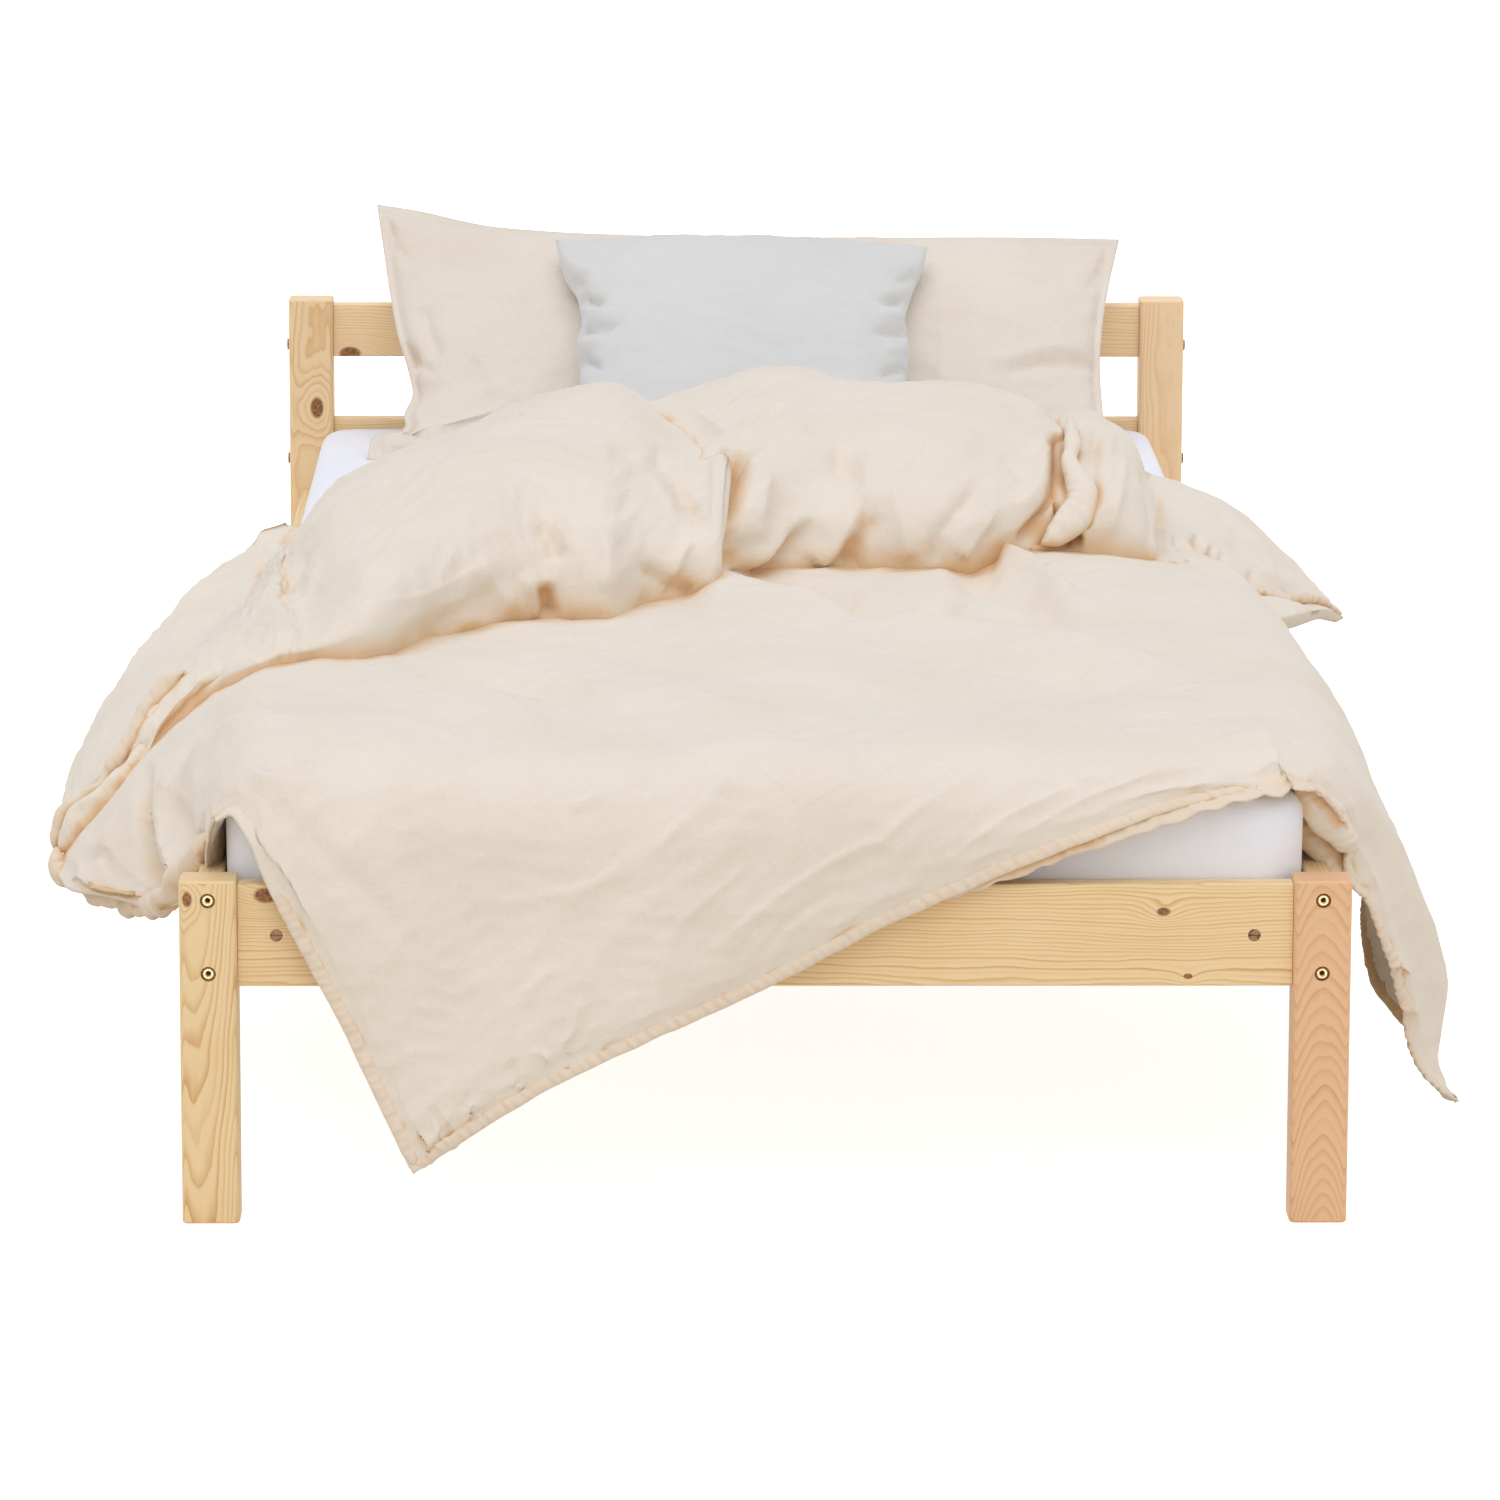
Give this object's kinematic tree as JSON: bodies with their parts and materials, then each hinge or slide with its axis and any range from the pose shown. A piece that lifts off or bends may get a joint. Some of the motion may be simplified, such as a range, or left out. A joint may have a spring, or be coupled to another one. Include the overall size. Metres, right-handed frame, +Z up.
{
  "type": "single bed",
  "caption": "Low wooden single bed with an open headboard, slatted base, mattress in a fitted sheet, folded-back duvet, pillow and small cushion.",
  "frame": {"origin": "on the floor, at the middle of the rectangle of the bed frame's posts", "axes": "+X to the sleeper's left when lying on the back, which is the right of the picture, +Y from the foot end to the head end, +Z up"},
  "size_m": [1.2466, 2.1622, 0.5923],
  "materials": {
    "pine": "clear-lacquered planed pine with visible grain and knots",
    "slat_wood": "plain planed softwood, not lacquered",
    "zinc_plate": "yellow zinc-plated steel",
    "webbing": "woven polyester tape",
    "ticking": "woven mattress ticking",
    "sheet_cotton": "white cotton jersey",
    "duvet_cotton": "washed cotton, pale beige",
    "pillow_cotton": "washed cotton, pale beige",
    "cushion_cotton": "plain-weave cotton, pale grey"
  },
  "bodies": {
    "frame": {"foot_post_left": "pine", "foot_post_right": "pine", "head_post_left": "pine", "head_post_right": "pine", "foot_rail": "pine", "head_rail_lower": "pine", "head_rail_upper": "pine", "side_rail_left": "pine", "side_rail_right": "pine", "slat_ledge_left": "slat_wood", "slat_ledge_right": "slat_wood", "slat_01": "slat_wood", "slat_02": "slat_wood", "slat_03": "slat_wood", "slat_04": "slat_wood", "slat_05": "slat_wood", "slat_06": "slat_wood", "slat_07": "slat_wood", "slat_08": "slat_wood", "slat_09": "slat_wood", "slat_10": "slat_wood", "slat_11": "slat_wood", "slat_12": "slat_wood", "slat_13": "slat_wood", "slat_tape_left": "webbing", "slat_tape_right": "webbing", "bolt_foot_left_side_lower": "zinc_plate", "bolt_foot_left_side_upper": "zinc_plate", "bolt_foot_left_cross": "zinc_plate", "bolt_foot_right_side_lower": "zinc_plate", "bolt_foot_right_side_upper": "zinc_plate", "bolt_foot_right_cross": "zinc_plate", "bolt_head_left_side_lower": "zinc_plate", "bolt_head_left_side_upper": "zinc_plate", "bolt_head_left_cross_lower": "zinc_plate", "bolt_head_left_cross_upper": "zinc_plate", "bolt_head_right_side_lower": "zinc_plate", "bolt_head_right_side_upper": "zinc_plate", "bolt_head_right_cross_lower": "zinc_plate", "bolt_head_right_cross_upper": "zinc_plate", "barrel_nut_foot_left_side_lower": "zinc_plate", "barrel_nut_foot_left_side_upper": "zinc_plate", "barrel_nut_foot_left_cross": "zinc_plate", "barrel_nut_foot_right_side_lower": "zinc_plate", "barrel_nut_foot_right_side_upper": "zinc_plate", "barrel_nut_foot_right_cross": "zinc_plate", "barrel_nut_head_left_side_lower": "zinc_plate", "barrel_nut_head_left_side_upper": "zinc_plate", "barrel_nut_head_left_cross_lower": "zinc_plate", "barrel_nut_head_left_cross_upper": "zinc_plate", "barrel_nut_head_right_side_lower": "zinc_plate", "barrel_nut_head_right_side_upper": "zinc_plate", "barrel_nut_head_right_cross_lower": "zinc_plate", "barrel_nut_head_right_cross_upper": "zinc_plate"},
    "mattress": {"mattress": "ticking", "fitted_sheet": "sheet_cotton"},
    "duvet": {"duvet": "duvet_cotton"},
    "pillow": {"pillow": "pillow_cotton"},
    "cushion": {"cushion": "cushion_cotton"}
  },
  "joints": [
    {"name": "mattress_lift", "type": "slide", "parent": "frame", "child": "mattress", "axis": [0, 0, 1], "range_m": [0, 0.27]},
    {"name": "duvet_lift", "type": "slide", "parent": "mattress", "child": "duvet", "axis": [0, 0, 1], "range_m": [0, 0.55]},
    {"name": "pillow_lift", "type": "slide", "parent": "mattress", "child": "pillow", "axis": [0, 0, 1], "range_m": [0, 0.25]},
    {"name": "cushion_lift", "type": "slide", "parent": "pillow", "child": "cushion", "axis": [0, 0, 1], "range_m": [0, 0.3]}
  ]
}
